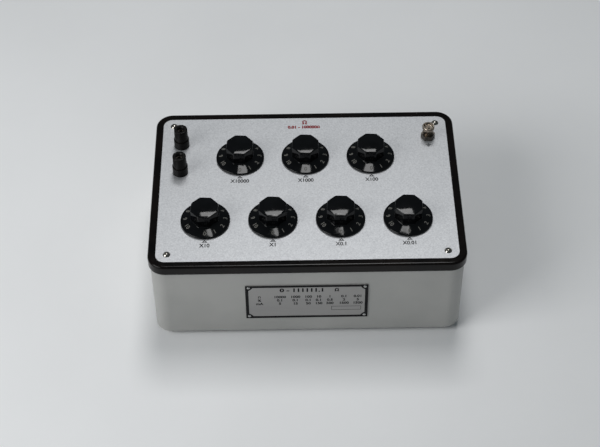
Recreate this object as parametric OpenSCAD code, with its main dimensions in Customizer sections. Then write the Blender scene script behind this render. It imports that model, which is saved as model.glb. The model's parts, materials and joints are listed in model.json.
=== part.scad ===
// Decade resistance box that lies panel up: seven dials, two binding posts and an earth terminal.
// Millimetres, +Z up, front towards -Y. The origin is under the middle, on the surface it stands on.

/* [Case] */
// Outer width of the case
case_w = 306; // [290:1:330]
// Outer depth of the case
case_d = 207; // [196:1:225]
// Height of the case from its underside to the bezel
case_h = 92.7; // [86:0.1:110]
// Corner radius of the case in plan
case_corner_r = 15; // [13:0.5:19]
// Thickness of the case walls
case_wall = 2.5; // [2:0.1:3.5]
// Thickness of the case floor
floor_t = 3; // [2.5:0.1:5]
// Rounding between the walls and the underside
case_edge_r = 3.5; // [1:0.1:4.5]
// Radius of the corner bosses that take the panel screws
boss_r = 5; // [4:0.1:6]
// Thickness of the ribs that tie the bosses to the walls
rib_t = 2; // [1.5:0.1:3]

/* [Bezel] */
// How far the bezel overhangs the case on each side
bezel_overhang = 2; // [1:0.1:3.5]
// Height of the bezel from the case to the face of the panel
bezel_h = 9.8; // [8.5:0.1:13]
// Width of the bezel seen from above
bezel_width = 7.4; // [6.6:0.1:8.5]
// Rounding of the outer top edge
bezel_edge_r = 2.2; // [1:0.1:5]
// How far the bezel stands above the panel
bezel_proud = 0.5; // [0.2:0.1:1.5]
// Width of the ledge under the edge of the panel
ledge_w = 5.6; // [4:0.1:6]
// Thickness of that ledge
ledge_t = 3; // [2:0.1:4]
// Depth of the lip that locates the bezel inside the case
lip_depth = 3; // [2:0.1:5]
// Thickness of that lip
lip_t = 1.6; // [1:0.1:2]

/* [Panel] */
// Thickness of the panel
panel_t = 3; // [2:0.1:4]
// Distance of the panel screws from the sides of the case
screw_inset_x = 16.6; // [15:0.1:18]
// Distance of the panel screws from the front and back of the case
screw_inset_y = 15.4; // [13.5:0.1:16]
// Shank radius of the panel screws
screw_r = 2; // [1.5:0.1:2.5]
// Head radius of the panel screws
screw_head_r = 3.7; // [3.2:0.1:4.5]
// Height of their domed heads
screw_head_h = 2.2; // [1.6:0.1:3]
// Length of the panel screws under the head
screw_len = 22; // [16:1:30]

/* [Dial places] */
// Distance between neighbouring dials of a row
dial_pitch = 66.7; // [60:0.1:75]
// Distance of the rear row behind the middle
rear_row_y = 40.2; // [36:0.1:48]
// Distance of the front row before the middle
front_row_y = 45.4; // [38:0.1:52]

/* [Knob] */
// Radius of the skirt
skirt_r = 24.5; // [22:0.1:27]
// Height of the skirt's outer edge
skirt_edge_h = 1.8; // [0.6:0.1:2.4]
// Height above the panel at which the skirt meets the grip
skirt_h = 5.8; // [5:0.1:8]
// Width of the flat rim under the skirt
skirt_rim = 3; // [2:0.1:4]
// Width of the eight-sided grip across its flats
grip_flats = 26.8; // [24:0.1:30]
// Turn of the flats against the zero of the dial
grip_turn = 3; // [0:1:22]
// Height of the grip's upper edge above the panel
grip_h = 20.3; // [18:0.1:26]
// Bevel of that edge
grip_bevel = 0.8; // [0.3:0.1:1.5]
// Rise of the domed crown above that edge
crown_rise = 0.9; // [0.4:0.1:2]
// Gap between the knob and the panel
knob_gap = 0.6; // [0.4:0.1:1]
// Depth of the shaft's hole in the grip
knob_bore_h = 9; // [7:0.1:10]

/* [Switch] */
// Radius of the shaft
shaft_r = 3; // [2.5:0.1:3.5]
// Distance of the shaft's flat from its axis
shaft_flat = 2.3; // [1.8:0.1:2.4]
// Radius of the bushing's barrel
bushing_r = 4.5; // [4.2:0.1:5]
// Height of the bushing above the panel
bushing_rise = 6; // [4.5:0.1:7]
// Radius of the bushing's flange under the index plate
bushing_flange_r = 8; // [7:0.1:8.4]
// Thickness of that flange
bushing_flange_t = 2.5; // [1.5:0.1:3.5]
// Width of the bushing nut across its flats
bushing_nut_flats = 14; // [12:0.1:15]
// Thickness of the bushing nut
bushing_nut_t = 3; // [2:0.1:4]
// Radius of the index plate
index_plate_r = 27; // [26:0.1:30]
// Thickness of the index plate
index_plate_t = 1.5; // [1:0.1:2.5]
// Radius of the star wheel
star_r = 13; // [12.5:0.1:14]
// Thickness of the star wheel
star_t = 3; // [2:0.1:4]
// Radius of the detent roller
roller_r = 2.5; // [2:0.1:2.8]
// How far the roller sits in a notch of the star wheel
roller_sink = 0.9; // [0.5:0.1:1.2]
// Thickness of the detent's leaf spring
leaf_t = 0.6; // [0.4:0.1:1]
// Length of that leaf
leaf_l = 26; // [22:0.5:30]
// Radius of the pin that stops the shaft at both ends of its travel
stop_pin_r = 1.5; // [1:0.1:1.8]
// Radius of the circle the stop pin runs on
stop_circle_r = 10.5; // [10.2:0.1:11]
// Radius of the switch deck
deck_r = 28; // [27:0.1:31]
// Thickness of the switch deck
deck_t = 4; // [3:0.1:6]
// Length of the pillars between the index plate and the deck
pillar_l = 15.5; // [14.5:0.1:20]
// Radius of the pillars
pillar_r = 2.5; // [2.2:0.1:3]
// Radius of the circle the pillars stand on
pillar_circle_r = 23.5; // [23.2:0.1:24.2]

/* [Contacts] */
// Radius of the circle of contact studs
contact_circle_r = 17; // [16.4:0.1:17.8]
// Head radius of a contact stud
contact_r = 2.6; // [2:0.1:3]
// Height of the contact heads and the collector ring
contact_h = 1.5; // [1:0.1:2.5]
// Length of the soldering tails under the deck
tail_l = 3; // [2:0.1:5]
// Inner radius of the collector ring
ring_in_r = 8; // [7:0.1:8.5]
// Outer radius of the collector ring
ring_out_r = 11; // [10:0.1:12]
// Gap between the brush and what it slides on
brush_gap = 0.2; // [0.1:0.05:0.3]
// Thickness of the brush's leaves
brush_leaf_t = 0.8; // [0.5:0.1:1.2]
// Width of the brush's arm
brush_w = 5; // [4:0.1:7]
// Radius of the brush's hub
brush_hub_r = 6; // [5:0.1:7]
// Height of the brush's hub
brush_hub_h = 4.5; // [3:0.1:5]

/* [Resistors] */
// Radius of a bobbin's cheeks
bobbin_r = 3.5; // [2.8:0.1:3.6]
// Length of a bobbin
bobbin_l = 40; // [25:1:44]
// Radius of the winding
winding_r = 3; // [2:0.1:3.3]
// Thickness of a bobbin's cheeks
cheek_t = 1.5; // [1:0.1:2.5]
// Radius of the circle the bobbins hang on
bobbin_circle_r = 21.5; // [21:0.1:22]
// Radius of the link wires
wire_r = 0.8; // [0.5:0.1:1]

/* [Binding posts] */
// Distance of the binding posts from the left side of the case
post_inset_x = 25.8; // [22:0.1:31]
// Distance of the rear post from the back of the case
post_inset_y = 43.1; // [39:0.1:51]
// Distance between the two posts
post_pitch = 38.2; // [32:0.1:46]
// Radius of the insulating collar on the panel
collar_r = 7.8; // [7.4:0.1:9]
// Height of that collar
collar_h = 9.5; // [7:0.1:12]
// Radius of the collar's spigot in the panel
spigot_r = 5; // [4.5:0.1:6]
// Radius of the post's stud
post_stud_r = 3.5; // [3:0.1:3.8]
// Radius of the plug socket in the stud
socket_r = 2.05; // [2:0.05:2.2]
// Depth of the plug socket
socket_depth = 14; // [10:0.5:16]
// Thickness of the clamping washer
post_washer_t = 1; // [0.6:0.1:2]
// Radius of the cap at its foot
cap_r = 7; // [6.2:0.1:7.3]
// Radius of the cap at its top
cap_top_r = 6.8; // [6.2:0.1:7]
// Height of the cap
cap_h = 13; // [11:0.1:16]
// Rounding of the cap's top edge
cap_edge_r = 0.9; // [0.5:0.1:1.6]
// Radius of the plug's way through the cap's top
cap_hole_r = 3; // [2.6:0.1:3.3]
// Radius of its bevelled mouth
cap_mouth_r = 4; // [3.5:0.1:4.5]
// Depth of the stud's end below the cap's top
cap_hole_depth = 3.2; // [2:0.1:4]
// Thickness of the lower insulating bush
bush_t = 4; // [3:0.1:6]
// Width of the post's nut across its flats
post_nut_flats = 11; // [10:0.1:13]
// Thickness of the post's nut
post_nut_t = 4; // [3:0.1:5]

/* [Earth terminal] */
// Distance of the earth terminal from the right side of the case
earth_inset_x = 25.5; // [21:0.1:31]
// Distance of the earth terminal from the back of the case
earth_inset_y = 35.9; // [34:0.1:48]
// Radius of the earth stud
earth_stud_r = 2.5; // [2:0.1:3]
// Width of the base nut across its flats
earth_base_flats = 12.6; // [11:0.1:15]
// Height of the base nut
earth_base_h = 5.5; // [4:0.1:8]
// Radius of the loose washer
earth_washer_r = 4.9; // [4.5:0.1:6]
// Thickness of the loose washer
earth_washer_t = 0.9; // [0.6:0.1:1.5]
// Radius of the thumb nut's neck
thumb_neck_r = 4.2; // [3.8:0.1:4.8]
// Radius of the thumb nut's knurled head
thumb_r = 6.3; // [5.6:0.1:7.5]
// Height of the thumb nut
thumb_h = 9.5; // [8:0.1:13]
// Height of its knurled part
thumb_knurl_h = 2.6; // [2:0.1:5]
// Radius of the dish in its top
thumb_dish_r = 4.6; // [4:0.1:5]
// Depth of the dish
thumb_dish_depth = 1.6; // [1:0.1:2.5]

/* [Nameplate] */
// Width of the nameplate
nameplate_w = 121; // [90:1:150]
// Height of the nameplate
nameplate_h = 50.5; // [35:0.5:60]
// Thickness of the nameplate
nameplate_t = 0.8; // [0.5:0.1:1.2]
// Distance of the nameplate's middle to the left of the case's
nameplate_shift = 1.1; // [0:0.1:3]
// Depth of the nameplate's middle below the panel
nameplate_drop = 55.3; // [48:0.1:62]
// Distance of its rivets from its edges
rivet_inset = 3.4; // [3:0.1:6]
// Head radius of a rivet
rivet_head_r = 1.6; // [1.4:0.1:2.4]

/* [Feet] */
// Height of the feet
foot_h = 5; // [4:0.1:10]
// Radius of the feet
foot_r = 9; // [7:0.1:12]
// Distance of the feet from the walls of the case
foot_inset = 30; // [24:0.5:40]

/* [Hidden] */
$fn = 96;
DIALS = ["x10000", "x1000", "x100", "x10", "x1", "x0_1", "x0_01"];
REAR_DIALS = 3;
FRONT_DIALS = 4;
SIGNS = [-1, 1];

// Clearances between pieces
panel_gap = 0.3;
lip_gap = 0.3;
run_gap = 0.05;
thread_gap = 0.05;
hole_gap = 0.2;
axial_gap = 0.4;
stop_gap = 0.3;

// Switch travel: steps of the dial, and the angle of the first contact
steps = 10;
step_angle = 30;
zero_angle = 270;
notches = 360 / step_angle;
stop_arc = 360 - steps * step_angle;
pillar_angles = [90, 210, 330];
roller_angle = 90;
ring_tail_angles = [60, 120];

// Levels above the surface the box stands on
case_top = foot_h + case_h;
panel_top = case_top + bezel_h;

// Plan sizes
bezel_w = case_w + 2 * bezel_overhang;
bezel_d = case_d + 2 * bezel_overhang;
bezel_corner_r = case_corner_r + bezel_overhang;
panel_inset = bezel_width + panel_gap;
screw_x = case_w / 2 - screw_inset_x;
screw_y = case_d / 2 - screw_inset_y;
foot_x = case_w / 2 - foot_inset;
foot_y = case_d / 2 - foot_inset;

// Switch levels, measured from the face of the panel
index_top = -panel_t;
index_under = index_top - index_plate_t;
flange_under = index_under - bushing_flange_t;
star_top = flange_under - axial_gap;
deck_top = index_under - pillar_l;
deck_under = deck_top - deck_t;
contact_top = deck_top + contact_h;
brush_under = contact_top + brush_gap;
brush_arm_z = brush_under + brush_leaf_t;
tail_end = deck_under - tail_l;
shaft_end = deck_under - 2;
bobbin_end = deck_under - bobbin_l;
wire_level = bobbin_end - 3;

// Knob forms
corner_factor = 1 / cos(180 / 8);
grip_foot_r = grip_flats / 2 + 0.5;
skirt_slope = (skirt_h - knob_gap - skirt_edge_h) / (skirt_r - grip_foot_r);
hollow_r = skirt_r - skirt_rim;
well_r = bushing_nut_flats / 2 / cos(30) + 1;
well_top = max(bushing_rise, bushing_nut_t) + axial_gap;
knob_bore_top = well_top + knob_bore_h;
grip_corner_r = grip_flats / 2 * corner_factor;
crown_top = grip_h + crown_rise;
crown_ball_r = (pow(grip_flats / 2, 2) + pow(crown_rise, 2)) / (2 * crown_rise);
knob_fit = 0.02;

// Detent
roller_at = star_r + roller_r - roller_sink;
notch_r = roller_r + 0.1;
leaf_at = roller_at + roller_r - leaf_t;
leaf_post_r = 1.2;
stop_half_arc = stop_arc / 2 - asin((stop_pin_r + stop_gap) / stop_circle_r);
stop_depth = bushing_flange_t + axial_gap - stop_gap;

// Small fasteners of the switch
pillar_tenon_r = 1.4;
deck_screw_r = 1.25;
deck_screw_head_r = 2;
deck_screw_head_h = 1.4;
deck_screw_grip = 5;
contact_shank_r = 1.5;
ring_tail_r = 1;
tenon_r = 1.2;
tenon_l = 2.5;

// Binding posts and earth terminal, measured from the face of the panel
post_x = post_inset_x - case_w / 2;
post_y = case_d / 2 - post_inset_y;
post_places = [[post_x, post_y], [post_x, post_y - post_pitch]];
cap_foot = collar_h + post_washer_t;
cap_top = cap_foot + cap_h;
post_stud_top = cap_top - cap_hole_depth;
tag_t = 0.8;
tag_hole_gap = 0.1;
bush_under = -panel_t - bush_t;
post_nut_under = bush_under - tag_t - post_nut_t;
post_stud_end = post_nut_under - 2;
bush_r = collar_r;
earth_place = [case_w / 2 - earth_inset_x, case_d / 2 - earth_inset_y];
earth_nut_flats = 8;
earth_nut_t = 4;
earth_nut_under = -panel_t - tag_t - earth_nut_t;
thumb_foot = earth_base_h + earth_washer_t;
thumb_top = thumb_foot + thumb_h;
earth_stud_top = thumb_top - thumb_dish_depth + 0.5;
earth_stud_end = earth_nut_under - 2;
knurls = 30;
knurl_r = 0.45;

// Nameplate rivets and foot screws
nameplate_z = panel_top - nameplate_drop;
nameplate_corner_r = 2;
rivet_r = 1.2;
rivet_head_h = 0.8;
foot_screw_r = 1.5;
foot_screw_head_r = 3;
foot_screw_head_h = 1.8;
foot_recess = foot_h / 2;
foot_recess_r = foot_screw_head_r + 0.6;
foot_boss_r = 4.5;
foot_boss_h = 6;
foot_shoulder = 1;

// Places
function dial_x(i) = i < REAR_DIALS
    ? (i - (REAR_DIALS - 1) / 2) * dial_pitch
    : (i - REAR_DIALS - (FRONT_DIALS - 1) / 2) * dial_pitch;
function dial_y(i) = i < REAR_DIALS ? rear_row_y : -front_row_y;
function contact_angle(k) = zero_angle - k * step_angle;

module at_dial(i) {
    translate([dial_x(i), dial_y(i), panel_top]) children();
}

module at_dials() {
    for (i = [0 : len(DIALS) - 1]) at_dial(i) children();
}

module at_place(place) {
    translate([place[0], place[1], panel_top]) children();
}

module at_corners(x, y) {
    for (sx = SIGNS, sy = SIGNS) translate([sx * x, sy * y, 0]) children();
}

module around(angles, r) {
    for (a = angles) rotate([0, 0, a]) translate([r, 0, 0]) children();
}

// Shapes that repeat
module rounded_rect(w, d, r) {
    square([w - 2 * r, d], center = true);
    square([w, d - 2 * r], center = true);
    for (sx = SIGNS, sy = SIGNS) translate([sx * (w / 2 - r), sy * (d / 2 - r)]) circle(r);
}

// Sweeps a profile round a rounded rectangle. The profile's x runs outwards from the corner's centre.
module sweep_round(w, d, r) {
    for (turn = [0, 180]) rotate([0, 0, turn]) {
        translate([w / 2 - r, d / 2 - r, 0]) rotate([90, 0, 0]) linear_extrude(d - 2 * r) children();
        translate([-(w / 2 - r), d / 2 - r, 0]) rotate([90, 0, 90]) linear_extrude(w - 2 * r) children();
        translate([w / 2 - r, d / 2 - r, 0]) rotate_extrude(angle = 90) children();
        translate([-(w / 2 - r), d / 2 - r, 0]) rotate([0, 0, 90]) rotate_extrude(angle = 90) children();
    }
}

// What a convex rounding takes away from a corner at the origin that points towards +X and -Y
module corner_waste(r) {
    translate([-r, 0]) difference() {
        square([r + 1, r]);
        translate([0, r]) circle(r);
    }
}

module tube(r, bore_r, z0, z1) {
    translate([0, 0, z0]) linear_extrude(z1 - z0) difference() {
        circle(r);
        circle(bore_r);
    }
}

module rod(r, z0, z1) {
    translate([0, 0, z0]) cylinder(r = r, h = z1 - z0);
}

module hex_nut(flats, bore_r, z0, z1) {
    translate([0, 0, z0]) linear_extrude(z1 - z0) difference() {
        circle(r = flats / 2 / cos(30), $fn = 6);
        circle(bore_r);
    }
}

// A low dome of a given base radius and height, standing on z = 0
module dome(r, h) {
    ball_r = (r * r + h * h) / (2 * h);
    rotate_extrude() intersection() {
        translate([0, h - ball_r]) circle(ball_r);
        square([r, h]);
    }
}

// Housing
module case_profile() {
    floor_band = case_corner_r / 2;
    difference() {
        union() {
            translate([case_corner_r - case_wall, 0]) square([case_wall, case_h]);
            translate([case_corner_r - floor_band, 0]) square([floor_band, floor_t]);
        }
        translate([case_corner_r, 0]) corner_waste(case_edge_r);
    }
}

module corner_boss() {
    rib_h = case_h - lip_depth - 1;
    rod(boss_r, 0, case_h);
    translate([0, -rib_t / 2, 0]) cube([screw_inset_x - case_wall / 2, rib_t, rib_h]);
    translate([-rib_t / 2, 0, 0]) cube([rib_t, screw_inset_y - case_wall / 2, rib_h]);
}

module case() {
    floor_band = case_corner_r / 2;
    floor_w = case_w - 2 * floor_band;
    floor_d = case_d - 2 * floor_band;
    boss_bore = screw_len - bezel_h + 2;
    color("#c9cac6") difference() {
        translate([0, 0, foot_h]) {
            sweep_round(case_w, case_d, case_corner_r) case_profile();
            linear_extrude(floor_t) rounded_rect(floor_w, floor_d, case_corner_r - floor_band);
            for (sx = [0, 1], sy = [0, 1]) mirror([sx, 0, 0]) mirror([0, sy, 0])
                translate([screw_x, screw_y, 0]) corner_boss();
            at_corners(foot_x, foot_y) rod(foot_boss_r, 0, floor_t + foot_boss_h);
        }
        at_corners(screw_x, screw_y) rod(screw_r + thread_gap, case_top - boss_bore, case_top + 1);
        at_corners(foot_x, foot_y) rod(foot_screw_r + thread_gap, 0, foot_h + floor_t + foot_boss_h - 1);
        at_rivets() rod(rivet_r + thread_gap, -case_wall - 1, 1);
    }
}

module bezel_profile() {
    inner = bezel_corner_r - bezel_width;
    ledge_top = bezel_h - panel_t;
    top = bezel_h + bezel_proud;
    lip_out = case_corner_r - case_wall - lip_gap;
    difference() {
        union() {
            translate([inner, 0]) square([bezel_width, top]);
            translate([inner - ledge_w, ledge_top - ledge_t]) square([ledge_w + 1, ledge_t]);
            translate([lip_out - lip_t, -lip_depth]) square([lip_t, lip_depth + 1]);
        }
        translate([bezel_corner_r, top]) mirror([0, 1]) corner_waste(bezel_edge_r);
    }
}

module bezel() {
    color("#101112") difference() {
        translate([0, 0, case_top]) {
            sweep_round(bezel_w, bezel_d, bezel_corner_r) bezel_profile();
            at_corners(screw_x, screw_y) rod(boss_r, 0, bezel_h - panel_t);
        }
        at_corners(screw_x, screw_y) rod(screw_r + hole_gap, case_top - 1, panel_top);
    }
}

module panel() {
    color("#d9dadc") translate([0, 0, panel_top - panel_t]) linear_extrude(panel_t) difference() {
        rounded_rect(bezel_w - 2 * panel_inset, bezel_d - 2 * panel_inset, bezel_corner_r - panel_inset);
        for (sx = SIGNS, sy = SIGNS) translate([sx * screw_x, sy * screw_y]) circle(screw_r + hole_gap);
        for (i = [0 : len(DIALS) - 1]) translate([dial_x(i), dial_y(i)]) circle(bushing_r + hole_gap);
        for (place = post_places) translate(place) circle(spigot_r + hole_gap);
        translate(earth_place) circle(earth_stud_r + hole_gap);
    }
}

module panel_screws() {
    slot_w = 0.9;
    slot_depth = 1;
    color("#b9b4a8") translate([0, 0, panel_top]) at_corners(screw_x, screw_y) {
        difference() {
            dome(screw_head_r, screw_head_h);
            translate([-screw_head_r, -slot_w / 2, screw_head_h - slot_depth])
                cube([2 * screw_head_r, slot_w, slot_depth]);
        }
        rod(screw_r, -screw_len, 0);
    }
}

// Stands a child on the front wall at the nameplate's middle, with +Z pointing out of the wall
module at_nameplate() {
    translate([-nameplate_shift, -case_d / 2, nameplate_z]) rotate([90, 0, 0]) children();
}

module at_rivets() {
    x = nameplate_w / 2 - rivet_inset;
    z = nameplate_h / 2 - rivet_inset;
    at_nameplate() at_corners(x, z) children();
}

module nameplate() {
    color("#d3d3cd") difference() {
        at_nameplate() linear_extrude(nameplate_t)
            rounded_rect(nameplate_w, nameplate_h, nameplate_corner_r);
        at_rivets() rod(rivet_r + thread_gap, -1, nameplate_t + 1);
    }
}

module nameplate_rivets() {
    color("#c4c4c0") at_rivets() {
        translate([0, 0, nameplate_t]) dome(rivet_head_r, rivet_head_h);
        rod(rivet_r, -case_wall, nameplate_t);
    }
}

module rubber_feet() {
    color("#1a1a1a") at_corners(foot_x, foot_y) rotate_extrude() polygon([
        [foot_recess_r, 0],
        [foot_r - foot_shoulder, 0],
        [foot_r, foot_shoulder],
        [foot_r, foot_h],
        [foot_screw_r + hole_gap, foot_h],
        [foot_screw_r + hole_gap, foot_recess],
        [foot_recess_r, foot_recess]
    ]);
}

module foot_screws() {
    color("#9a9a96") at_corners(foot_x, foot_y) {
        rod(foot_screw_head_r, foot_recess - foot_screw_head_h, foot_recess);
        rod(foot_screw_r, foot_recess, foot_h + floor_t + foot_boss_h - 2);
    }
}

// Dials
module shaft_section(r) {
    difference() {
        circle(r);
        translate([-r, shaft_flat + r - shaft_r]) square([2 * r, r]);
    }
}

module grip() {
    bevel_foot = grip_h - grip_bevel;
    bevel_h = crown_top - bevel_foot;
    bevel_top_r = grip_corner_r - bevel_h * corner_factor;
    intersection() {
        rotate([0, 0, 180 / 8 - grip_turn]) {
            translate([0, 0, knob_gap]) cylinder(r = grip_corner_r, h = bevel_foot - knob_gap, $fn = 8);
            translate([0, 0, bevel_foot]) cylinder(r1 = grip_corner_r, r2 = bevel_top_r, h = bevel_h, $fn = 8);
        }
        rotate_extrude() intersection() {
            translate([0, crown_top - crown_ball_r]) circle(crown_ball_r);
            square([grip_corner_r + 1, crown_top]);
        }
    }
}

module skirt() {
    rotate_extrude() polygon([
        [0, knob_gap],
        [skirt_r, knob_gap],
        [skirt_r, knob_gap + skirt_edge_h],
        [grip_foot_r, skirt_h],
        [0, skirt_h]
    ]);
}

module knob_hollow() {
    narrow_r = well_r - 0.5;
    rotate_extrude() polygon([
        [0, 0],
        [hollow_r, 0],
        [hollow_r, knob_gap],
        [narrow_r, knob_gap + (hollow_r - narrow_r) * skirt_slope],
        [0, knob_gap + (hollow_r - narrow_r) * skirt_slope]
    ]);
    rod(well_r, 0, well_top);
}

module knob(i) {
    color("#0c0d0f") at_dial(i) difference() {
        union() {
            skirt();
            grip();
        }
        knob_hollow();
        translate([0, 0, well_top - 1]) linear_extrude(knob_bore_top - well_top + 1)
            shaft_section(shaft_r + knob_fit);
    }
}

module star_wheel() {
    difference() {
        rod(star_r, star_top - star_t, star_top);
        around([for (k = [0 : notches - 1]) k * step_angle], roller_at)
            rod(notch_r, star_top - star_t - 1, star_top + 1);
    }
    around([zero_angle], stop_circle_r) rod(stop_pin_r, star_top - 1, index_under - stop_gap);
}

module shaft(i) {
    color("#a8a9a6") at_dial(i) {
        rod(shaft_r, shaft_end, well_top);
        translate([0, 0, well_top]) linear_extrude(knob_bore_top - well_top - 0.5) shaft_section(shaft_r);
        star_wheel();
    }
}

// Three fingers side by side, from the hub out to the contacts
module brush_outline() {
    slot_w = 0.4;
    difference() {
        union() {
            circle(brush_hub_r);
            translate([0, -brush_w / 2]) square([contact_circle_r, brush_w]);
            translate([contact_circle_r, 0]) circle(brush_w / 2);
        }
        circle(shaft_r + knob_fit);
        for (side = SIGNS) translate([brush_hub_r + 1, side * brush_w / 6 - slot_w / 2])
            square([contact_circle_r, slot_w]);
    }
}

module brush(i) {
    pad_r = brush_w / 6 - 0.2;
    ring_mid_r = (ring_in_r + ring_out_r) / 2;
    color("#c08a4a") at_dial(i) rotate([0, 0, zero_angle]) {
        translate([0, 0, brush_arm_z]) linear_extrude(brush_leaf_t) brush_outline();
        for (finger = [-1, 0, 1]) translate([0, finger * brush_w / 3, 0]) {
            translate([contact_circle_r, 0, 0]) rod(pad_r, brush_under, brush_arm_z);
            translate([ring_mid_r, 0, 0]) rod(pad_r, brush_under, brush_arm_z);
        }
        tube(brush_hub_r, shaft_r + knob_fit, brush_arm_z + brush_leaf_t, brush_arm_z + brush_hub_h);
    }
}

module deck_section() {
    difference() {
        circle(deck_r);
        circle(shaft_r + run_gap);
        around([for (k = [0 : steps]) contact_angle(k)], contact_circle_r) circle(contact_shank_r + run_gap);
        around(bobbin_angles(), bobbin_circle_r) circle(tenon_r + run_gap);
        around(pillar_angles, pillar_circle_r) circle(deck_screw_r + run_gap);
        around(ring_tail_angles, (ring_in_r + ring_out_r) / 2) circle(ring_tail_r + run_gap);
    }
}

module deck(i) {
    color("#6b3f22") at_dial(i) translate([0, 0, deck_under]) linear_extrude(deck_t) deck_section();
}

// Pieces that every dial has one or more of
module switch_bushings() {
    color("#c9a14e") at_dials() rotate_extrude() polygon([
        [shaft_r + run_gap, flange_under],
        [bushing_flange_r, flange_under],
        [bushing_flange_r, index_under],
        [bushing_r, index_under],
        [bushing_r, bushing_rise],
        [shaft_r + run_gap, bushing_rise]
    ]);
}

module bushing_nuts() {
    color("#b7b7b2") at_dials() hex_nut(bushing_nut_flats, bushing_r + thread_gap, 0, bushing_nut_t);
}

module index_plates() {
    leaf_post_x = leaf_l / 2 - leaf_post_r;
    color("#9c9d99") at_dials() {
        translate([0, 0, index_under]) linear_extrude(index_plate_t) difference() {
            circle(index_plate_r);
            circle(bushing_r + thread_gap);
            around(pillar_angles, pillar_circle_r) circle(pillar_tenon_r + run_gap);
            rotate(roller_angle) for (side = SIGNS) translate([leaf_at + leaf_t / 2, side * leaf_post_x])
                circle(leaf_post_r + run_gap);
        }
        translate([0, 0, index_under - stop_depth])
            rotate([0, 0, zero_angle + stop_arc / 2 - stop_half_arc])
            rotate_extrude(angle = 2 * stop_half_arc)
            translate([stop_circle_r - stop_pin_r, 0]) square([2 * stop_pin_r, stop_depth]);
    }
}

// A leaf held by two posts in the index plate, with the roller at its middle
module detent_springs() {
    leaf_post_x = leaf_l / 2 - leaf_post_r;
    color("#b08d57") at_dials() rotate([0, 0, roller_angle]) {
        translate([roller_at, 0, 0]) rod(roller_r, star_top - star_t, star_top);
        translate([leaf_at, -leaf_l / 2, star_top - star_t]) cube([leaf_t, leaf_l, star_t]);
        for (side = SIGNS) translate([leaf_at + leaf_t / 2, side * leaf_post_x, 0])
            rod(leaf_post_r, star_top - star_t, index_top);
    }
}

module deck_pillars() {
    color("#c9a14e") at_dials() around(pillar_angles, pillar_circle_r) {
        tube(pillar_r, deck_screw_r + run_gap, deck_top, deck_top + deck_screw_grip + 1);
        rod(pillar_r, deck_top + deck_screw_grip + 1, index_under);
        rod(pillar_tenon_r, index_under, index_top);
    }
}

module deck_screws() {
    color("#b7b7b2") at_dials() around(pillar_angles, pillar_circle_r) {
        rod(deck_screw_head_r, deck_under - deck_screw_head_h, deck_under);
        rod(deck_screw_r, deck_under, deck_top + deck_screw_grip);
    }
}

module contact_studs() {
    color("#d2b063") at_dials() around([for (k = [0 : steps]) contact_angle(k)], contact_circle_r) {
        rod(contact_r, deck_top, contact_top);
        rod(contact_shank_r, tail_end, deck_top);
    }
}

module collector_rings() {
    color("#d2b063") at_dials() {
        tube(ring_out_r, ring_in_r, deck_top, contact_top);
        around(ring_tail_angles, (ring_in_r + ring_out_r) / 2) rod(ring_tail_r, tail_end, deck_top);
    }
}

function bobbin_angles() = [for (k = [0 : steps - 1]) contact_angle(k) - step_angle / 2];

module resistor_bobbins() {
    color("#a0522d") at_dials() around(bobbin_angles(), bobbin_circle_r) rotate_extrude() polygon([
        [0, bobbin_end],
        [bobbin_r, bobbin_end],
        [bobbin_r, bobbin_end + cheek_t],
        [winding_r, bobbin_end + cheek_t],
        [winding_r, deck_under - cheek_t],
        [bobbin_r, deck_under - cheek_t],
        [bobbin_r, deck_under],
        [tenon_r, deck_under],
        [tenon_r, deck_under + tenon_l],
        [0, deck_under + tenon_l]
    ]);
}

// Terminals of a dial's switch: the first contact's tail, and a tail of the collector ring
function tail_in(i) = [dial_x(i), dial_y(i) - contact_circle_r, tail_end];
function tail_out(i) = [
    dial_x(i) + (ring_in_r + ring_out_r) / 2 * cos(ring_tail_angles[0]),
    dial_y(i) + (ring_in_r + ring_out_r) / 2 * sin(ring_tail_angles[0]),
    tail_end
];
function tag_end(place) = [place[0] + tag_reach, place[1], bush_under - tag_t];
tag_reach = 10;

// Down from one terminal, across under the bobbins, and up to the next
module link_wire(from, to) {
    low_from = [from[0], from[1], wire_level];
    low_to = [to[0], to[1], wire_level];
    span = low_to - low_from;
    elbow_r = wire_r * 1.15;
    for (end = [from, to]) translate([end[0], end[1], wire_level]) {
        cylinder(r = wire_r, h = end[2] - wire_level);
        sphere(elbow_r);
    }
    translate(low_from) rotate([0, 90, atan2(span[1], span[0])]) cylinder(r = wire_r, h = norm(span));
}

// In series along the rear row from the rear post, then back along the front row to the front post
module link_wires() {
    last = len(DIALS) - 1;
    color("#b5542f") translate([0, 0, panel_top]) {
        link_wire(tag_end(post_places[0]), tail_in(0));
        for (i = [0 : REAR_DIALS - 2]) link_wire(tail_out(i), tail_in(i + 1));
        link_wire(tail_out(REAR_DIALS - 1), tail_out(last));
        for (i = [REAR_DIALS : last - 1]) link_wire(tail_out(i), tail_in(i + 1));
        link_wire(tail_in(REAR_DIALS), tag_end(post_places[1]));
    }
}

// Binding posts
module at_posts() {
    for (place = post_places) at_place(place) children();
}

module post_collars() {
    color("#141414") at_posts() {
        tube(collar_r, post_stud_r + thread_gap, 0, collar_h);
        tube(spigot_r, post_stud_r + thread_gap, -panel_t, 0);
    }
}

module post_bushes() {
    color("#141414") at_posts() tube(bush_r, post_stud_r + thread_gap, bush_under, -panel_t);
}

module post_studs() {
    color("#c9a14e") at_posts() difference() {
        rod(post_stud_r, post_stud_end, post_stud_top);
        rod(socket_r, post_stud_top - socket_depth, post_stud_top + 1);
    }
}

module post_nuts() {
    color("#c9a14e") at_posts() hex_nut(post_nut_flats, post_stud_r + thread_gap, post_nut_under, bush_under - tag_t);
}

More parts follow.
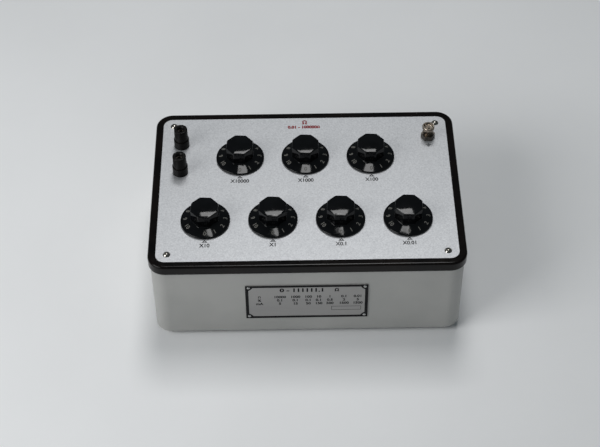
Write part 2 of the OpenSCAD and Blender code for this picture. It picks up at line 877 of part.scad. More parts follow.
module solder_tag(stud_r, top) {
    tag_r = stud_r + 2;
    tail_w = 4;
    translate([0, 0, top - tag_t]) linear_extrude(tag_t) difference() {
        union() {
            circle(tag_r);
            translate([0, -tail_w / 2]) square([tag_reach, tail_w]);
            translate([tag_reach, 0]) circle(tail_w / 2);
        }
        circle(stud_r + tag_hole_gap);
    }
}

module solder_tags() {
    color("#cfcfc8") {
        at_posts() solder_tag(post_stud_r, bush_under);
        at_place(earth_place) solder_tag(earth_stud_r, -panel_t);
    }
}

module post_washer(place) {
    color("#cdb06a") at_place(place) tube(cap_r - 0.5, post_stud_r + thread_gap, collar_h, cap_foot);
}

module post_cap_section() {
    bore_r = post_stud_r + thread_gap;
    bore_top = post_stud_top + axial_gap;
    difference() {
        polygon([
            [bore_r, cap_foot],
            [cap_r, cap_foot],
            [cap_top_r, cap_top],
            [cap_mouth_r, cap_top],
            [cap_hole_r, cap_top - cap_mouth_r + cap_hole_r],
            [cap_hole_r, bore_top],
            [bore_r, bore_top]
        ]);
        translate([cap_top_r, cap_top]) mirror([0, 1]) corner_waste(cap_edge_r);
    }
}

module post_cap(place) {
    color("#0f0f10") at_place(place) rotate_extrude() post_cap_section();
}

// Earth terminal
module earth_stud() {
    color("#b8a98c") at_place(earth_place) rod(earth_stud_r, earth_stud_end, earth_stud_top);
}

module earth_base_nut() {
    color("#4a4640") at_place(earth_place) hex_nut(earth_base_flats, earth_stud_r + thread_gap, 0, earth_base_h);
}

module earth_lock_nut() {
    color("#b7b7b2") at_place(earth_place)
        hex_nut(earth_nut_flats, earth_stud_r + thread_gap, earth_nut_under, -panel_t - tag_t);
}

module earth_washer() {
    color("#cfc8b8") at_place(earth_place)
        tube(earth_washer_r, earth_stud_r + thread_gap, earth_base_h, thumb_foot);
}

module earth_thumb_nut() {
    bore_r = earth_stud_r + thread_gap;
    knurl_foot = thumb_top - thumb_knurl_h;
    color("#bfb49c") at_place(earth_place) difference() {
        rotate_extrude() polygon([
            [bore_r, thumb_foot],
            [thumb_neck_r, thumb_foot],
            [thumb_neck_r, thumb_foot + 1.5],
            [thumb_r, knurl_foot],
            [thumb_r, thumb_top - 0.5],
            [thumb_r - 0.5, thumb_top],
            [thumb_dish_r, thumb_top],
            [thumb_dish_r - 0.8, thumb_top - thumb_dish_depth],
            [bore_r, thumb_top - thumb_dish_depth]
        ]);
        around([for (k = [0 : knurls - 1]) k * 360 / knurls], thumb_r)
            rod(knurl_r, knurl_foot - 1, thumb_top + 1);
    }
}

case();
bezel();
panel();
panel_screws();
nameplate();
nameplate_rivets();
rubber_feet();
foot_screws();
for (i = [0 : len(DIALS) - 1]) {
    knob(i);
    shaft(i);
    brush(i);
    deck(i);
}
switch_bushings();
bushing_nuts();
index_plates();
detent_springs();
deck_pillars();
deck_screws();
contact_studs();
collector_rings();
resistor_bobbins();
link_wires();
post_collars();
post_bushes();
post_studs();
post_nuts();
solder_tags();
post_washer(post_places[0]);  // post_washer_rear
post_washer(post_places[1]);  // post_washer_front
post_cap(post_places[0]);  // post_cap_rear
post_cap(post_places[1]);  // post_cap_front
earth_stud();
earth_base_nut();
earth_lock_nut();
earth_washer();
earth_thumb_nut();
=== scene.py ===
"""A bench decade resistance box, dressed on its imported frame.

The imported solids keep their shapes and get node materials. The knobs are modelled again with rounded edges
and a crowned top, and their skirts carry the numerals 0 to 10. All markings are thin closed solids that sit
on the panel, on the front plate or on a skirt, and hold plain numbers, units and signs only.
"""
import json
import math

import bmesh
import bpy
from mathutils import Matrix, Quaternion, Vector


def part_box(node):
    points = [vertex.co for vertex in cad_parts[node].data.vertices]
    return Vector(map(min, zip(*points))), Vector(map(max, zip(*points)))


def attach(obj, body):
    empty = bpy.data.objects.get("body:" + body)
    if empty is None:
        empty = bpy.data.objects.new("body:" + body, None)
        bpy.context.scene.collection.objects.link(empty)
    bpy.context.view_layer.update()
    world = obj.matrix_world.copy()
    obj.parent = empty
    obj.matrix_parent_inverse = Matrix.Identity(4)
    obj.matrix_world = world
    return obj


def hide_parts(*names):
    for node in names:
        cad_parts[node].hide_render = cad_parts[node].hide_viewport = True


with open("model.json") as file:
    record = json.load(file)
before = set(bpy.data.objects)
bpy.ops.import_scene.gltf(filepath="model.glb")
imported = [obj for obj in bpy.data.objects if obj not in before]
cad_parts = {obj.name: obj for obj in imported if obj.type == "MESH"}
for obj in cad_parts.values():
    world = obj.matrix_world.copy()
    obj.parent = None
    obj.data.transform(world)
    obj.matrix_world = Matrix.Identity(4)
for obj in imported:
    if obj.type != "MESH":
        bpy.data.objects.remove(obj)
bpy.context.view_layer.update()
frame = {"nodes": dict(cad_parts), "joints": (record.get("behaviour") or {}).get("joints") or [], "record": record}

# Places taken from the frame; sizes are in millimetres and are turned to metres where a piece is made
MM = 0.001
PANEL_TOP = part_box("panel")[1].z / MM
PLATE_LOW, PLATE_HIGH = (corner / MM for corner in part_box("nameplate"))
EARTH_LOW, EARTH_HIGH = (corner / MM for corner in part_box("earth_stud"))
DIALS = {
    joint["child"]: Vector(joint["pos_m"]) / MM
    for joint in frame["joints"]
    if joint["child"].startswith("dial_")
}

# Camera fitted to the photograph, with pixels of its 600 by 447 frame and metres
PHOTO_W = 600
FOCAL_PX = 1516.04
SHIFT_X_PX = 5.99
SHIFT_Y_PX = -37.42
CAMERA_DISTANCE = 1.52747
CAMERA_PITCH = math.radians(46.88)
CAMERA_YAW = math.radians(-0.73)
CAMERA_ROLL = math.radians(-0.30)
SENSOR_W = 36.0

# Knob
KNOB_GAP = 0.6
SKIRT_R = 24.5
SKIRT_EDGE_TOP = 2.4
SKIRT_RINGS = (21.0, 18.0, 16.0)
CONE_TOP_R = 13.9
CONE_TOP_Z = 5.8
RIM_FOOT_ROUND = 0.3
RIM_ROUND = 0.9
GRIP_SIDES = 8
GRIP_HALF_FLATS = 13.4
GRIP_TURN = math.radians(-3)
GRIP_CORNER_ROUND = 1.5
GRIP_CORNER_LEAST = 0.2
GRIP_FOOT_ROUND = 0.8
GRIP_EDGE_ROUND = 0.8
GRIP_EDGE_SWEEP = math.radians(82)
GRIP_EDGE_TOP = 20.3
CROWN_RISE = 0.9
CROWN_SHARES = (0.86, 0.68, 0.5, 0.32, 0.14)
HOLLOW_R = 21.5
WELL_R = 9.08
WELL_TOP = 6.4
BORE_R = 3.05
BORE_TOP = 15.4
CORNER_STEPS = 4
FLAT_STEPS = 6
ROUND_STEPS = 4

# Print in general
INK_SINK = 0.02
INK_RISE = 0.03
FONT_STEPS = 4
WELD_DISTANCE = 0.0005
OHM_BOW_SHARE = 0.42
OHM_FOOT_SHARE = 0.46
OHM_OPENING = math.radians(38)
OHM_STEPS = 24

# Numerals on the skirts
NUMERAL_RISE = 0.08
NUMERAL_SINK = 0.08
NUMERAL_R = 19.8
NUMERAL_H = 4.0
NUMERAL_BOLD = 0.1
NUMERAL_LAST = 10
STEP_ANGLE = math.radians(30)
FRONT_ANGLE = math.radians(-90)

# Pointers and multipliers in front of the dials
POINTER_TIP = 24.8
POINTER_W = 6.0
POINTER_H = 3.3
POINTER_LINE = 0.85
LABEL_Y = 31.9
LABEL_H = 4.4
LABEL_BOLD = 0.16
LABEL_WIDTH = 0.9
LABELS = {
    "dial_x10000": "X10000",
    "dial_x1000": "X1000",
    "dial_x100": "X100",
    "dial_x10": "X10",
    "dial_x1": "X1",
    "dial_x0_1": "X0.1",
    "dial_x0_01": "X0.01",
}

# Earth sign
EARTH_X = (EARTH_LOW.x + EARTH_HIGH.x) / 2
EARTH_SIGN_DROP = 9.4
EARTH_SIGN_Y = (EARTH_LOW.y + EARTH_HIGH.y) / 2 - EARTH_SIGN_DROP
EARTH_LINE = 0.7
EARTH_STEM = 1.4
EARTH_HALF_BARS = (2.6, 1.7, 0.8)
EARTH_BAR_STEP = 1.2

# Red print at the back of the panel
RED_SIGN_Y = 91.6
RED_SIGN_H = 6.0
RED_SIGN_LINE = 1.3
RED_RANGE = "0.01 - 100000"
RED_RANGE_X = -2.4
RED_RANGE_Y = 84.6
RED_RANGE_H = 3.7
RED_RANGE_BOLD = 0.32
RED_UNIT_X = 14.4
RED_UNIT_LINE = 1.0

# Front plate; u is measured from its middle, and a drop from its upper edge
PLATE_W = PLATE_HIGH.x - PLATE_LOW.x
PLATE_H = PLATE_HIGH.z - PLATE_LOW.z
BORDER_EDGE = 0.15
BORDER_LINE = 3.1
NOTCH_R = 7.8
NOTCH_STEPS = 8
HEADER = "0 - 111111.1"
HEADER_U = -4.5
HEADER_DROP = 7.4
HEADER_H = 5.0
HEADER_BOLD = 0.3
HEADER_WIDTH = 1.18
HEADER_UNIT_U = 29.5
HEADER_UNIT_LINE = 1.15
COLUMNS = (-26.5, -11.2, 1.5, 11.8, 22.8, 36.7, 50.3)
ROW_DROPS = (17.6, 22.8, 28.0)
ROW_NUMBERS = (
    ("10000", "1000", "100", "10", "1", "0.1", "0.01"),
    ("0.1", "0.1", "0.1", "0.1", "0.5", "2", "5"),
    ("5", "15", "50", "150", "500", "1500", "1500"),
)
ROW_H = 3.3
ROW_BOLD = 0.18
SIGN_U = -46.7
SIGN_LINE = 0.6
FIELD_U = 39.0
FIELD_DROP = 36.0
FIELD_HALF_W = 14.5
FIELD_HALF_H = 2.7
FIELD_LINE = 0.4

# Noise patterns of the materials
NOISE_MIDDLE = (0.3, 0.7)
TONE_STOPS = (0.36, 0.64)
TONE_DETAIL = 6.0
GRAIN_DETAIL = 2.0

# Stage, in metres and watts
CENTRE = Vector((0, 0, PANEL_TOP * MM))
FLOOR_HALF = 6.0
KEY_DISTANCE = 3.0
FILL_PLACE = Vector((-1.0, -0.6, 0.95))
WORLD_COLOR = (0.085, 0.101, 0.109, 1)


def cone_z(r):
    """Height of the skirt's upper side above the panel at a radius."""
    return SKIRT_EDGE_TOP + (SKIRT_R - r) * (CONE_TOP_Z - SKIRT_EDGE_TOP) / (SKIRT_R - CONE_TOP_R)


def crown_z(r):
    """Height of the crown, part of a large ball, at a radius."""
    ball_r = (GRIP_HALF_FLATS ** 2 + CROWN_RISE ** 2) / (2 * CROWN_RISE)
    return GRIP_EDGE_TOP + CROWN_RISE - ball_r + math.sqrt(ball_r ** 2 - r ** 2)


def octagon(half_flats, corner_round):
    """Points of an octagon with rounded corners, the same number on every call."""
    corner_spread = math.pi / GRIP_SIDES
    arcs = []
    for i in range(GRIP_SIDES):
        middle = GRIP_TURN + corner_spread + i * 2 * corner_spread
        reach = (half_flats - corner_round) / math.cos(corner_spread)
        centre = Vector((math.cos(middle), math.sin(middle))) * reach
        arc = []
        for k in range(CORNER_STEPS + 1):
            a = middle + corner_spread * (2 * k / CORNER_STEPS - 1)
            arc.append(centre + Vector((math.cos(a), math.sin(a))) * corner_round)
        arcs.append(arc)
    points = []
    for arc, following in zip(arcs, arcs[1:] + arcs[:1]):
        points += arc
        points += [arc[-1].lerp(following[0], k / FLAT_STEPS) for k in range(1, FLAT_STEPS)]
    return points


RING_ANGLES = [math.atan2(p.y, p.x) for p in octagon(GRIP_HALF_FLATS, GRIP_CORNER_ROUND)]


def circle(r, z):
    """One ring of a turned surface, with its points in line with the octagon's."""
    return [Vector((r * math.cos(a), r * math.sin(a), z)) for a in RING_ANGLES]


def grip_ring(offset, height):
    """One ring of the grip, moved out by an offset, at the height that a function gives for each radius."""
    corner_round = max(GRIP_CORNER_ROUND + offset, GRIP_CORNER_LEAST)
    points = octagon(GRIP_HALF_FLATS + offset, corner_round)
    return [Vector((p.x, p.y, height(p.length))) for p in points]


def knob_rings():
    """Rings of a knob from the shaft bore, over the rim and up the grip, to the middle of the crown."""
    cone_drop = (CONE_TOP_Z - SKIRT_EDGE_TOP) / (SKIRT_R - CONE_TOP_R)
    cone_angle = math.atan(cone_drop)
    under_top = KNOB_GAP + (HOLLOW_R - WELL_R) * cone_drop
    rings = [
        circle(BORE_R, BORE_TOP),
        circle(BORE_R, WELL_TOP),
        circle(WELL_R, WELL_TOP),
        circle(WELL_R, under_top),
        circle(HOLLOW_R, KNOB_GAP),
    ]
    for k in range(ROUND_STEPS + 1):
        a = math.pi / 2 * (k / ROUND_STEPS - 1)
        r = SKIRT_R - RIM_FOOT_ROUND * (1 - math.cos(a))
        rings.append(circle(r, KNOB_GAP + RIM_FOOT_ROUND * (1 + math.sin(a))))
    rim_z = SKIRT_EDGE_TOP - RIM_ROUND * (1 - math.sin(cone_angle)) / math.cos(cone_angle)
    for k in range(ROUND_STEPS + 1):
        a = (math.pi / 2 - cone_angle) * k / ROUND_STEPS
        rings.append(circle(SKIRT_R - RIM_ROUND * (1 - math.cos(a)), rim_z + RIM_ROUND * math.sin(a)))
    for r in SKIRT_RINGS:
        rings.append(circle(r, cone_z(r)))
    for k in range(ROUND_STEPS + 1):
        a = math.pi / 2 * k / ROUND_STEPS
        rise = GRIP_FOOT_ROUND * (1 - math.cos(a))
        rings.append(grip_ring(GRIP_FOOT_ROUND * (1 - math.sin(a)), lambda r, h=rise: cone_z(r) + h))
    for k in range(ROUND_STEPS + 1):
        a = GRIP_EDGE_SWEEP * k / ROUND_STEPS
        drop = GRIP_EDGE_ROUND * (1 - math.sin(a))
        inset = GRIP_EDGE_ROUND * (1 - math.cos(a))
        rings.append(grip_ring(-inset, lambda r, h=drop: crown_z(r) - h))
    top = octagon(GRIP_HALF_FLATS - GRIP_EDGE_ROUND, GRIP_CORNER_ROUND)
    for share in CROWN_SHARES:
        rings.append([Vector((p.x * share, p.y * share, crown_z(p.length * share))) for p in top])
    return rings


def loft(rings):
    """Points and faces of a closed skin over rings of equal count, with a fan over each end."""
    count = len(rings[0])
    points = [p for ring in rings for p in ring]
    faces = []
    for level in range(len(rings) - 1):
        low, high = level * count, (level + 1) * count
        for i in range(count):
            j = (i + 1) % count
            faces.append((low + i, low + j, high + j, high + i))
    for ring, first, flip in ((rings[0], 0, True), (rings[-1], (len(rings) - 1) * count, False)):
        middle = len(points)
        points.append(sum(ring, Vector((0, 0, 0))) / count)
        for i in range(count):
            pair = (first + i, first + (i + 1) % count)
            faces.append((pair[1], pair[0], middle) if flip else (pair[0], pair[1], middle))
    return points, faces


def make_piece(name, points, faces, body, material, smooth_angle=40):
    """A mesh object in metres that rides on a body; edges sharper than the angle stay crisp."""
    mesh = bpy.data.meshes.new(name)
    mesh.from_pydata([p * MM for p in points], [], faces)
    shape = bmesh.new()
    shape.from_mesh(mesh)
    bmesh.ops.recalc_face_normals(shape, faces=shape.faces)
    for face in shape.faces:
        face.smooth = True
    for edge in shape.edges:
        edge.smooth = edge.calc_face_angle(math.pi) < math.radians(smooth_angle)
    shape.to_mesh(mesh)
    shape.free()
    piece = bpy.data.objects.new(name, mesh)
    bpy.context.scene.collection.objects.link(piece)
    mesh.materials.append(material)
    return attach(piece, body)


def flat_solid(curve):
    """Points and faces of a filled flat curve or text, one unit thick each way."""
    curve.extrude = 1.0
    holder = bpy.data.objects.new(curve.name, curve)
    bpy.context.scene.collection.objects.link(holder)
    bpy.context.view_layer.update()
    ready = holder.evaluated_get(bpy.context.evaluated_depsgraph_get())
    mesh = bpy.data.meshes.new_from_object(ready)
    shape = bmesh.new()
    shape.from_mesh(mesh)
    bmesh.ops.remove_doubles(shape, verts=shape.verts, dist=WELD_DISTANCE)
    shape.verts.index_update()
    points = [v.co.copy() for v in shape.verts]
    faces = [[v.index for v in face.verts] for face in shape.faces]
    shape.free()
    bpy.data.objects.remove(holder)
    bpy.data.meshes.remove(mesh)
    bpy.data.curves.remove(curve)
    return points, faces


def filled_loops(loops):
    """A flat solid between closed loops; an inner loop is a hole."""
    curve = bpy.data.curves.new("loops", "CURVE")
    curve.dimensions = "2D"
    curve.fill_mode = "BOTH"
    for loop in loops:
        spline = curve.splines.new("POLY")
        spline.points.add(len(loop) - 1)
        spline.use_cyclic_u = True
        for point, place in zip(spline.points, loop):
            point.co = (place[0], place[1], 0, 1)
    return flat_solid(curve)


def font_digit_height():
    """Height of a digit in the built-in font at size 1."""
    curve = bpy.data.curves.new("digit", "FONT")
    curve.body = "1"
    points = flat_solid(curve)[0]
    return max(p.y for p in points) - min(p.y for p in points)


FONT_DIGIT_H = font_digit_height()


def words(text, height, bold, width=1.0):
    """Characters of the built-in font as a flat solid about its middle; height is a digit's."""
    curve = bpy.data.curves.new("words", "FONT")
    curve.body = text
    curve.size = height / FONT_DIGIT_H
    curve.align_x = "CENTER"
    curve.resolution_u = FONT_STEPS
    curve.offset = bold
    points, faces = flat_solid(curve)
    return [Vector((p.x * width, p.y - height / 2, p.z)) for p in points], faces


def offset_loop(loop, distance):
    """A closed counter-clockwise loop moved outwards, with mitred corners."""
    moved = []
    for i, here in enumerate(loop):
        before = (here - loop[i - 1]).normalized()
        after = (loop[(i + 1) % len(loop)] - here).normalized()
        side = Vector((before.y, -before.x))
        bisector = (side + Vector((after.y, -after.x))).normalized()
        moved.append(here + bisector * (distance / bisector.dot(side)))
    return moved


def outline(loop, line):
    """A closed line of a given width along a loop."""
    return filled_loops([offset_loop(loop, line / 2), offset_loop(loop, -line / 2)])


def stroke(path, line):
    """An open line of a given width along a path, with square ends."""
    left, right = [], []
    for i, here in enumerate(path):
        before = (here - path[i - 1]).normalized() if i else (path[1] - here).normalized()
        after = (path[i + 1] - here).normalized() if i + 1 < len(path) else before
        side = Vector((before.y, -before.x))
        bisector = (side + Vector((after.y, -after.x))).normalized()
        reach = bisector * (line / 2 / bisector.dot(side))
        left.append(here - reach)
        right.append(here + reach)
    return filled_loops([right + left[::-1]])


def bar(x0, y0, x1, y1):
    """A filled rectangle."""
    return filled_loops([[(x0, y0), (x1, y0), (x1, y1), (x0, y1)]])


def ohm(height, line):
    """The unit sign for ohms as one stroke: a bow that is open below, and a foot on each side."""
    bow_r = OHM_BOW_SHARE * height
    foot_x = OHM_FOOT_SHARE * height
    foot_y = -height / 2 + line / 2
    centre = Vector((0, height / 2 - bow_r))
    bow = []
    for k in range(OHM_STEPS + 1):
        a = -math.pi / 2 - OHM_OPENING - k / OHM_STEPS * (2 * math.pi - 2 * OHM_OPENING)
        bow.append(centre + Vector((math.cos(a), math.sin(a))) * (bow_r - line / 2))
    left_foot = [Vector((-foot_x, foot_y)), Vector((bow[0].x, foot_y))]
    right_foot = [Vector((bow[-1].x, foot_y)), Vector((foot_x, foot_y))]
    return stroke(left_foot + bow + right_foot, line)


class Markings:
    """Flat solids gathered into one piece, each put in place by a function of its points."""

    def __init__(self):
        self.points = []
        self.faces = []

    def add(self, solid, place):
        first = len(self.points)
        self.points += [place(p) for p in solid[0]]
        self.faces += [[first + i for i in face] for face in solid[1]]

    def make(self, name, body, material):
        return make_piece(name, self.points, self.faces, body, material)


def on_panel(x, y):
    """Puts a flat solid on the panel with its middle at a place."""
    def place(p):
        return Vector((x + p.x, y + p.y, PANEL_TOP + (INK_RISE if p.z > 0 else -INK_SINK)))
    return place


def on_plate(u, v):
    """Puts a flat solid on the front plate; u and v are measured from the plate's middle."""
    middle_x = (PLATE_LOW.x + PLATE_HIGH.x) / 2
    middle_z = (PLATE_LOW.z + PLATE_HIGH.z) / 2

    def place(p):
        out = INK_RISE if p.z > 0 else -INK_SINK
        return Vector((middle_x + u + p.x, PLATE_LOW.y - out, middle_z + v + p.y))
    return place


def on_skirt(centre, angle):
    """Puts a flat solid on a knob's skirt, upright towards the axis."""
    slope = math.atan((CONE_TOP_Z - SKIRT_EDGE_TOP) / (SKIRT_R - CONE_TOP_R))

    def place(p):
        out = NUMERAL_RISE if p.z > 0 else -NUMERAL_SINK
        r = NUMERAL_R - p.y * math.cos(slope)
        a = angle + p.x / NUMERAL_R
        z = centre.z + cone_z(r) + out * math.cos(slope)
        r += out * math.sin(slope)
        return Vector((centre.x + r * math.cos(a), centre.y + r * math.sin(a), z))
    return place


def noise(tree, vector, scale, detail=3.0, fine=0.5):
    """A noise pattern on a vector output; fine is how strongly its smaller octaves show."""
    node = tree.nodes.new("ShaderNodeTexNoise")
    node.inputs["Scale"].default_value = scale
    node.inputs["Detail"].default_value = detail
    node.inputs["Roughness"].default_value = fine
    tree.links.new(vector, node.inputs["Vector"])
    return node.outputs["Fac"]


def spread(tree, value, low, high):
    """The middle part of a noise pattern stretched to a range."""
    node = tree.nodes.new("ShaderNodeMapRange")
    node.inputs["From Min"].default_value = NOISE_MIDDLE[0]
    node.inputs["From Max"].default_value = NOISE_MIDDLE[1]
    node.inputs["To Min"].default_value = low
    node.inputs["To Max"].default_value = high
    tree.links.new(value, node.inputs["Value"])
    return node.outputs["Result"]


def surface(name, tones, gloss, metallic=0.0, specular=0.5, tone_scale=40.0, gloss_scale=150.0,
            grain_scale=1500.0, grain_depth=0.02, stretch=(1, 1, 1), speckle=0.5):
    """A node material: colour drifts between two tones, roughness between two values, with a raised grain."""
    material = bpy.data.materials.new(name)
    material.use_nodes = True
    tree = material.node_tree
    shader = tree.nodes["Principled BSDF"]
    shader.inputs["Metallic"].default_value = metallic
    shader.inputs["Specular IOR Level"].default_value = specular
    where = tree.nodes.new("ShaderNodeTexCoord")
    mapping = tree.nodes.new("ShaderNodeMapping")
    mapping.inputs["Scale"].default_value = stretch
    tree.links.new(where.outputs["Object"], mapping.inputs["Vector"])
    vector = mapping.outputs["Vector"]
    ramp = tree.nodes.new("ShaderNodeValToRGB")
    for stop, position, tone in zip(ramp.color_ramp.elements, TONE_STOPS, tones):
        stop.position = position
        stop.color = (*tone, 1)
    tree.links.new(noise(tree, vector, tone_scale, TONE_DETAIL, speckle), ramp.inputs["Fac"])
    tree.links.new(ramp.outputs["Color"], shader.inputs["Base Color"])
    roughness = spread(tree, noise(tree, vector, gloss_scale), *gloss)
    tree.links.new(roughness, shader.inputs["Roughness"])
    bump = tree.nodes.new("ShaderNodeBump")
    bump.inputs["Strength"].default_value = 1.0
    bump.inputs["Distance"].default_value = grain_depth * MM
    tree.links.new(noise(tree, vector, grain_scale, GRAIN_DETAIL), bump.inputs["Height"])
    tree.links.new(bump.outputs["Normal"], shader.inputs["Normal"])
    return material


# Finishes: those of the record's slots, then inks, paint, dulled plate and floor; depths are in millimetres
FINISHES = {
    "case_grey": dict(
        tones=((0.42, 0.419, 0.402), (0.465, 0.461, 0.442)), gloss=(0.42, 0.5),
        tone_scale=18, grain_scale=900, grain_depth=0.03),
    "bezel_black": dict(
        tones=((0.003, 0.0027, 0.0028), (0.0078, 0.0055, 0.0046)), gloss=(0.08, 0.14), specular=0.16,
        tone_scale=20, grain_scale=1200, grain_depth=0.002),
    "panel_silver": dict(
        tones=((0.48, 0.488, 0.505), (0.655, 0.664, 0.68)), gloss=(0.42, 0.52), metallic=0.55,
        tone_scale=750, gloss_scale=500, grain_scale=2600, grain_depth=0.012, speckle=0.7),
    "knob_black": dict(
        tones=((0.0024, 0.0026, 0.003), (0.004, 0.0043, 0.005)), gloss=(0.05, 0.09), specular=0.25,
        tone_scale=90, gloss_scale=220, grain_scale=300, grain_depth=0.004),
    "post_black": dict(
        tones=((0.0042, 0.004, 0.0042), (0.0075, 0.0068, 0.0066)), gloss=(0.24, 0.34), specular=0.11,
        tone_scale=120, gloss_scale=300, grain_scale=1800, grain_depth=0.01),
    "nickel": dict(
        tones=((0.265, 0.248, 0.222), (0.45, 0.432, 0.4)), gloss=(0.16, 0.28), metallic=1.0,
        tone_scale=220, gloss_scale=500, grain_scale=2500, grain_depth=0.003),
    "dark_nickel": dict(
        tones=((0.1, 0.09, 0.08), (0.2, 0.18, 0.16)), gloss=(0.3, 0.45), metallic=1.0,
        tone_scale=260, gloss_scale=500, grain_scale=2500, grain_depth=0.01),
    "nameplate": dict(
        tones=((0.338, 0.331, 0.327), (0.388, 0.379, 0.37)), gloss=(0.4, 0.5), metallic=0.3,
        tone_scale=30, gloss_scale=600, grain_scale=2200, grain_depth=0.008, stretch=(0.15, 1, 1)),
    "rubber": dict(
        tones=((0.014, 0.014, 0.014), (0.024, 0.024, 0.023)), gloss=(0.7, 0.85),
        grain_scale=1600, grain_depth=0.05),
    "steel": dict(
        tones=((0.42, 0.42, 0.41), (0.56, 0.56, 0.55)), gloss=(0.28, 0.42), metallic=1.0,
        tone_scale=150, grain_scale=2200, grain_depth=0.008),
    "brass": dict(
        tones=((0.5, 0.34, 0.12), (0.68, 0.5, 0.22)), gloss=(0.22, 0.36), metallic=1.0,
        tone_scale=180, grain_scale=2200, grain_depth=0.006),
    "bronze": dict(
        tones=((0.42, 0.26, 0.11), (0.58, 0.38, 0.19)), gloss=(0.28, 0.4), metallic=1.0,
        tone_scale=180, grain_scale=2000, grain_depth=0.006),
    "board": dict(
        tones=((0.09, 0.035, 0.014), (0.16, 0.07, 0.03)), gloss=(0.35, 0.5),
        tone_scale=110, grain_scale=1200, grain_depth=0.02, stretch=(0.3, 1, 1)),
    "winding": dict(
        tones=((0.2, 0.07, 0.025), (0.34, 0.14, 0.06)), gloss=(0.35, 0.5),
        tone_scale=400, grain_scale=3000, grain_depth=0.08, stretch=(1, 1, 0.2)),
    "copper": dict(
        tones=((0.5, 0.2, 0.1), (0.66, 0.3, 0.16)), gloss=(0.25, 0.38), metallic=1.0,
        tone_scale=200, grain_scale=2000, grain_depth=0.006),
    "black_ink": dict(
        tones=((0.004, 0.004, 0.005), (0.008, 0.008, 0.009)), gloss=(0.45, 0.6), specular=0.15,
        tone_scale=500, grain_scale=4000, grain_depth=0.004),
    "red_ink": dict(
        tones=((0.2, 0.004, 0.008), (0.29, 0.009, 0.013)), gloss=(0.45, 0.6), specular=0.2,
        tone_scale=500, grain_scale=4000, grain_depth=0.004),
    "pale_paint": dict(
        tones=((0.12, 0.117, 0.108), (0.18, 0.174, 0.16)), gloss=(0.5, 0.65), specular=0.1,
        tone_scale=600, grain_scale=4000, grain_depth=0.01),
    "nickel_tarnished": dict(
        tones=((0.25, 0.207, 0.165), (0.52, 0.455, 0.385)), gloss=(0.2, 0.34), metallic=1.0,
        tone_scale=160, gloss_scale=400, grain_scale=2500, grain_depth=0.004),
    "floor_pale": dict(
        tones=((0.88, 0.885, 0.89), (0.92, 0.925, 0.93)), gloss=(0.7, 0.8), specular=0.2,
        tone_scale=3, grain_scale=400, grain_depth=0.05),
}
MATERIALS = {name: surface(name, **finish) for name, finish in FINISHES.items()}
TARNISHED_NODES = ("earth_stud", "earth_washer", "earth_thumb_nut")

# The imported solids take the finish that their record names; the earth terminal has the same plate gone dull
for subpart in frame["record"]["subparts"]:
    node = subpart["node"]
    finish = "nickel_tarnished" if node in TARNISHED_NODES else subpart["material_slot"]
    mesh = frame["nodes"][node].data
    mesh.materials.clear()
    mesh.materials.append(MATERIALS[finish])

# Knobs, and the numerals on their skirts
knob_points, knob_faces = loft(knob_rings())
for body, centre in DIALS.items():
    tail = body[len("dial_"):]
    knob = make_piece("knob_" + tail + "_moulded", [p + centre for p in knob_points], knob_faces, body,
                      MATERIALS["knob_black"])
    weight = knob.modifiers.new("flat_sides", "WEIGHTED_NORMAL")
    weight.keep_sharp = True
    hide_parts("knob_" + tail)
    numerals = Markings()
    for number in range(NUMERAL_LAST + 1):
        numeral = words(str(number), NUMERAL_H, NUMERAL_BOLD)
        numerals.add(numeral, on_skirt(centre, FRONT_ANGLE + number * STEP_ANGLE))
    numerals.make("numerals_" + tail, body, MATERIALS["pale_paint"])

# Pointers, multipliers and the earth sign on the panel
panel_print = Markings()
half_w = POINTER_W / 2
pointer = [Vector((-half_w, -POINTER_H)), Vector((half_w, -POINTER_H)), Vector((0, 0))]
pointer_sign = outline(offset_loop(pointer, -POINTER_LINE / 2), POINTER_LINE)
for body, centre in DIALS.items():
    panel_print.add(pointer_sign, on_panel(centre.x, centre.y - POINTER_TIP))
    label = words(LABELS[body], LABEL_H, LABEL_BOLD, LABEL_WIDTH)
    panel_print.add(label, on_panel(centre.x, centre.y - LABEL_Y))
on_earth = on_panel(EARTH_X, EARTH_SIGN_Y)
panel_print.add(bar(-EARTH_LINE / 2, -EARTH_STEM, EARTH_LINE / 2, 0), on_earth)
for i, half_bar in enumerate(EARTH_HALF_BARS):
    base = -EARTH_STEM - i * EARTH_BAR_STEP
    panel_print.add(bar(-half_bar, base - EARTH_LINE, half_bar, base), on_earth)
panel_print.make("panel_markings", "box", MATERIALS["black_ink"])

# Unit sign and range of values in red at the back of the panel
red_print = Markings()
red_print.add(ohm(RED_SIGN_H, RED_SIGN_LINE), on_panel(0, RED_SIGN_Y))
red_print.add(words(RED_RANGE, RED_RANGE_H, RED_RANGE_BOLD), on_panel(RED_RANGE_X, RED_RANGE_Y))
red_print.add(ohm(RED_RANGE_H, RED_UNIT_LINE), on_panel(RED_UNIT_X, RED_RANGE_Y))
red_print.make("panel_markings_red", "box", MATERIALS["red_ink"])


def border_loops():
    """Outer and inner loop of the plate's border, with a concave quarter round at each inner corner."""
    edge_x = PLATE_W / 2 - BORDER_EDGE
    edge_y = PLATE_H / 2 - BORDER_EDGE
    inset_x = edge_x - BORDER_LINE
    inset_y = edge_y - BORDER_LINE
    outer = [(-edge_x, -edge_y), (edge_x, -edge_y), (edge_x, edge_y), (-edge_x, edge_y)]
    inner = []
    for sign_x, sign_y in ((1, 1), (1, -1), (-1, -1), (-1, 1)):
        arc = []
        for k in range(NOTCH_STEPS + 1):
            a = math.pi / 2 * k / NOTCH_STEPS
            x = min(inset_x, edge_x - NOTCH_R * math.cos(a))
            y = min(inset_y, edge_y - NOTCH_R * math.sin(a))
            arc.append((sign_x * x, sign_y * y))
        inner += arc if sign_x == sign_y else arc[::-1]
    return [outer, inner]


